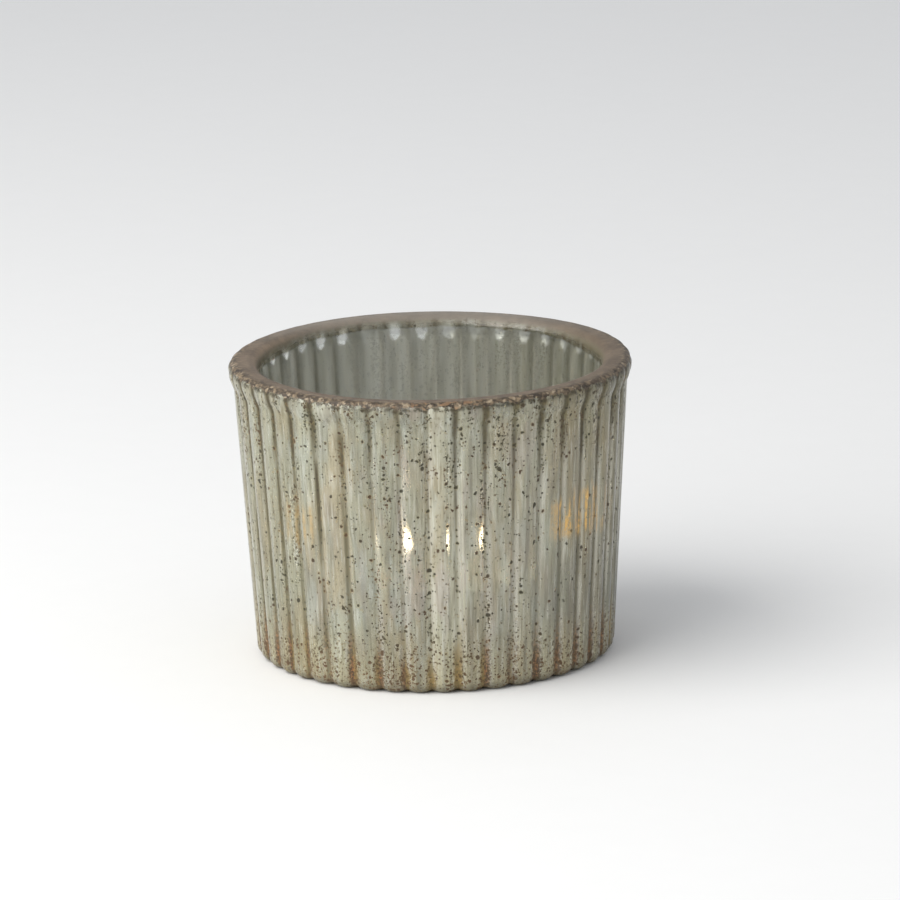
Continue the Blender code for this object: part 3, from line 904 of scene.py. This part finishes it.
def wax():
    """The candle, round the wick's tab and neck, with a melted pool in the middle of its top."""
    top = WAX_HIGH.z
    foot = WAX_LOW.z
    bore = WICK_RADIUS + 0.12 * MM
    neck = bore + 0.75 * MM
    tab_room = TAB_HIGH.x + 0.2 * MM
    neck_top = TAB_HIGH.z + 0.2 * MM
    pool = top - POOL_DEPTH
    section = [(bore, pool + 0.25 * MM), (bore + 0.4 * MM, pool + 0.1 * MM), (bore + 1.2 * MM, pool)]
    section += line(section[-1], (13.5 * MM, pool), 8)
    section += [(14.8 * MM, pool + 0.12 * MM), (15.6 * MM, pool + 0.5 * MM), (16.4 * MM, pool + 0.72 * MM)]
    section += line(section[-1], (WAX_RADIUS - 0.5 * MM, top - 0.05 * MM), 4)
    section += arc((WAX_RADIUS - 0.25 * MM, top - 0.3 * MM), 0.25 * MM, 90, 0, 3)
    section += line(section[-1], (WAX_RADIUS, foot + 1.2 * MM), 6)
    section += arc((WAX_RADIUS - 1.2 * MM, foot + 1.2 * MM), 1.2 * MM, 0, -90, 5)
    section += [(tab_room, foot), (tab_room, TAB_LOW.z + 0.5 * MM), (neck, TAB_LOW.z + 0.5 * MM)]
    section += [(neck, neck_top), (bore, neck_top)]

    def melt(angle, r, z):
        near_pool = max(0.0, 1 - abs(r - 15.6 * MM) / (2.2 * MM)) if z > pool - 0.1 * MM else 0.0
        on_rim = 1.0 if r > 16 * MM and z > top - 0.6 * MM else 0.0
        radius = r + 0.5 * MM * near_pool * wave(angle, 0, 41, (2, 3, 7))
        return radius, np.full_like(angle, z) + 0.1 * MM * on_rim * (wave(angle, 0, 42, (3, 8, 13)) - 1)

    mesh = mesh_of_rings("paraffin_fill", turned_rings(section, 180, melt), closed=True)
    placed("paraffin_fill", mesh, paraffin(), "candle", "wax_fill")


def wick_path(share):
    """The middle of the wick at this share of its length: straight in the wax, curling over above it."""
    low, high = WICK_LOW.z, WICK_HIGH.z - 0.1 * MM
    z = low + share * (high - low)
    bend_from = WAX_HIGH.z - POOL_DEPTH
    free = max(0.0, (z - bend_from) / (high - bend_from))
    return Vector((0.8 * MM * free**2, 0.15 * MM * math.sin(2.5 * free), z))


def braided_wick():
    """Three plaited strands of cotton, thinner and frayed where they are burnt."""
    rings, columns, rows = [[tuple(wick_path(0))]], 36, 150
    angle = turn(columns)
    for i in range(rows + 1):
        share = i / rows
        middle = wick_path(share)
        burnt = max(0.0, (middle.z - WAX_HIGH.z) / (WICK_HIGH.z - WAX_HIGH.z))
        twist = 60 * share
        strands = [np.abs(np.cos(1.5 * (angle + way * twist))) for way in (-1, 1)]
        radius = WICK_RADIUS * (0.80 + 0.20 * np.maximum(*strands)) * (1 - 0.35 * burnt**2)
        radius *= 1 + 0.07 * burnt * wave(angle, middle.z, 51, (3, 5, 8), 1.5 * MM)
        rings.append(ring_at(radius, angle, middle.z, middle.x, middle.y))
    rings.append([tuple(wick_path(1))])
    mesh = mesh_of_rings("braided_wick", rings)
    placed("braided_wick", mesh, charred_cotton(), "candle", "wick")


def wick_tab():
    """The steel disc and crimped neck that hold the wick up."""
    low, high = TAB_LOW.z, TAB_HIGH.z
    thick = 0.3 * MM
    bore = WICK_RADIUS + 0.06 * MM
    neck = bore + 0.35 * MM
    section = [(bore, low), (TAB_HIGH.x - 0.3 * MM, low)]
    section += arc((TAB_HIGH.x - 0.15 * MM, low + 0.15 * MM), 0.15 * MM, -80, 80, 4)
    raised = low + thick + 0.12 * MM
    section += [(3.2 * MM, low + thick), (2.8 * MM, raised), (2.0 * MM, raised)]
    section += arc((neck + 0.45 * MM, low + thick + 0.55 * MM), 0.45 * MM, 250, 180, 4)
    section += line(section[-1], (neck, high), 8)
    section += [(bore, high)]

    def crimp(angle, r, z):
        squeeze = np.zeros_like(angle)
        if abs(r - neck) < 0.02 * MM:
            nearness = math.exp(-(((z - high + 1 * MM) / (0.7 * MM)) ** 2))
            squeeze = 0.10 * MM * np.maximum(0, np.cos(3 * angle)) * nearness
        return r - squeeze, np.full_like(angle, z)

    mesh = mesh_of_rings("wick_tab", turned_rings(section, 96, crimp), closed=True)
    mesh.set_sharp_from_angle(angle=math.radians(40))
    placed("wick_tab", mesh, tinned_steel(), "candle", "wick_sustainer")


def flame():
    """The flame round the wick's tip: a drop with a drawn-out point, which leans with the wick."""
    columns, rows = 40, 36
    rings = [[(0.1 * MM, 0, FLAME_FOOT)]]
    angle = turn(columns)
    for i in range(1, rows):
        share = i / rows
        radius = FLAME_RADIUS * 1.62 * math.sqrt(share) * (1 - share) ** 0.8 * (1 + 0.25 * share)
        lean = 0.9 * MM * share**1.5
        x = lean + radius * np.cos(angle)
        y = 0.9 * radius * np.sin(angle)
        rings.append(np.stack([x, y, np.full(columns, FLAME_FOOT + share * FLAME_HEIGHT)], axis=1))
    rings.append([(0.9 * MM, 0, FLAME_FOOT + FLAME_HEIGHT)])
    placed("flame", mesh_of_rings("flame", rings), flame_light(), "candle", None)


# ---------------------------------------------------------------- stage, light and camera

def floor():
    """A round white floor just under the foot."""
    bpy.ops.mesh.primitive_circle_add(vertices=128, radius=4.0, fill_type="NGON", location=(0, 0, -0.02 * MM))
    ground = bpy.context.object
    ground.name = "floor"
    ground.data.materials.append(paper("studio_floor", (0.86, 0.86, 0.85), 0.7))


def softbox(name, azimuth, elevation, distance, size, power, colour):
    """A square lamp that faces the cup, at this azimuth from the camera's side and this elevation."""
    lamp = bpy.data.lights.new(name, "AREA")
    lamp.shape = "SQUARE"
    lamp.size = size
    lamp.energy = power
    lamp.color = colour
    obj = bpy.data.objects.new(name, lamp)
    turn, rise = math.radians(azimuth), math.radians(elevation)
    away = Vector((math.sin(turn) * math.cos(rise), -math.cos(turn) * math.cos(rise), math.sin(rise)))
    obj.location = away * distance + Vector((0, 0, CUP_HEIGHT / 2))
    obj.rotation_euler = away.to_track_quat("Z", "Y").to_euler()
    bpy.context.scene.collection.objects.link(obj)


def studio_light():
    world = bpy.data.worlds.new("studio")
    world.use_nodes = True
    shade = world.node_tree.nodes["Background"]
    shade.inputs["Color"].default_value = (0.94, 0.96, 1.0, 1.0)
    shade.inputs["Strength"].default_value = 0.60
    bpy.context.scene.world = world
    softbox("key", azimuth=-60, elevation=40, distance=1.0, size=1.1, power=13.0, colour=(1.0, 0.985, 0.96))
    bpy.context.scene.view_settings.view_transform = "Standard"


def camera():
    """The view of the photograph: a long lens from a little above, rolled slightly."""
    lens = bpy.data.cameras.new("camera")
    lens.lens = LENS
    lens.sensor_width = 36.0
    lens.clip_start, lens.clip_end = 0.1, 20.0
    eye = bpy.data.objects.new("camera", lens)
    bpy.context.scene.collection.objects.link(eye)
    back = Vector((0, -math.cos(CAMERA_ELEVATION), math.sin(CAMERA_ELEVATION)))
    right = Vector((1, 0, 0))
    up = back.cross(right)
    turned_right = right * math.cos(CAMERA_ROLL) + up * math.sin(CAMERA_ROLL)
    turned_up = up * math.cos(CAMERA_ROLL) - right * math.sin(CAMERA_ROLL)
    middle = Vector((0, 0, MIDDLE_HEIGHT))
    aim = middle + turned_right * AIM_RIGHT + turned_up * AIM_UP
    place = middle + back * CAMERA_DISTANCE
    away = (place - aim).normalized()
    level_right = (turned_right - away * turned_right.dot(away)).normalized()
    basis = Matrix((level_right, away.cross(level_right), away)).transposed()
    eye.matrix_world = Matrix.Translation(place) @ basis.to_4x4()
    bpy.context.scene.camera = eye


ribbed_glass()
foil_cup()
wax()
braided_wick()
wick_tab()
flame()
floor()
studio_light()
camera()
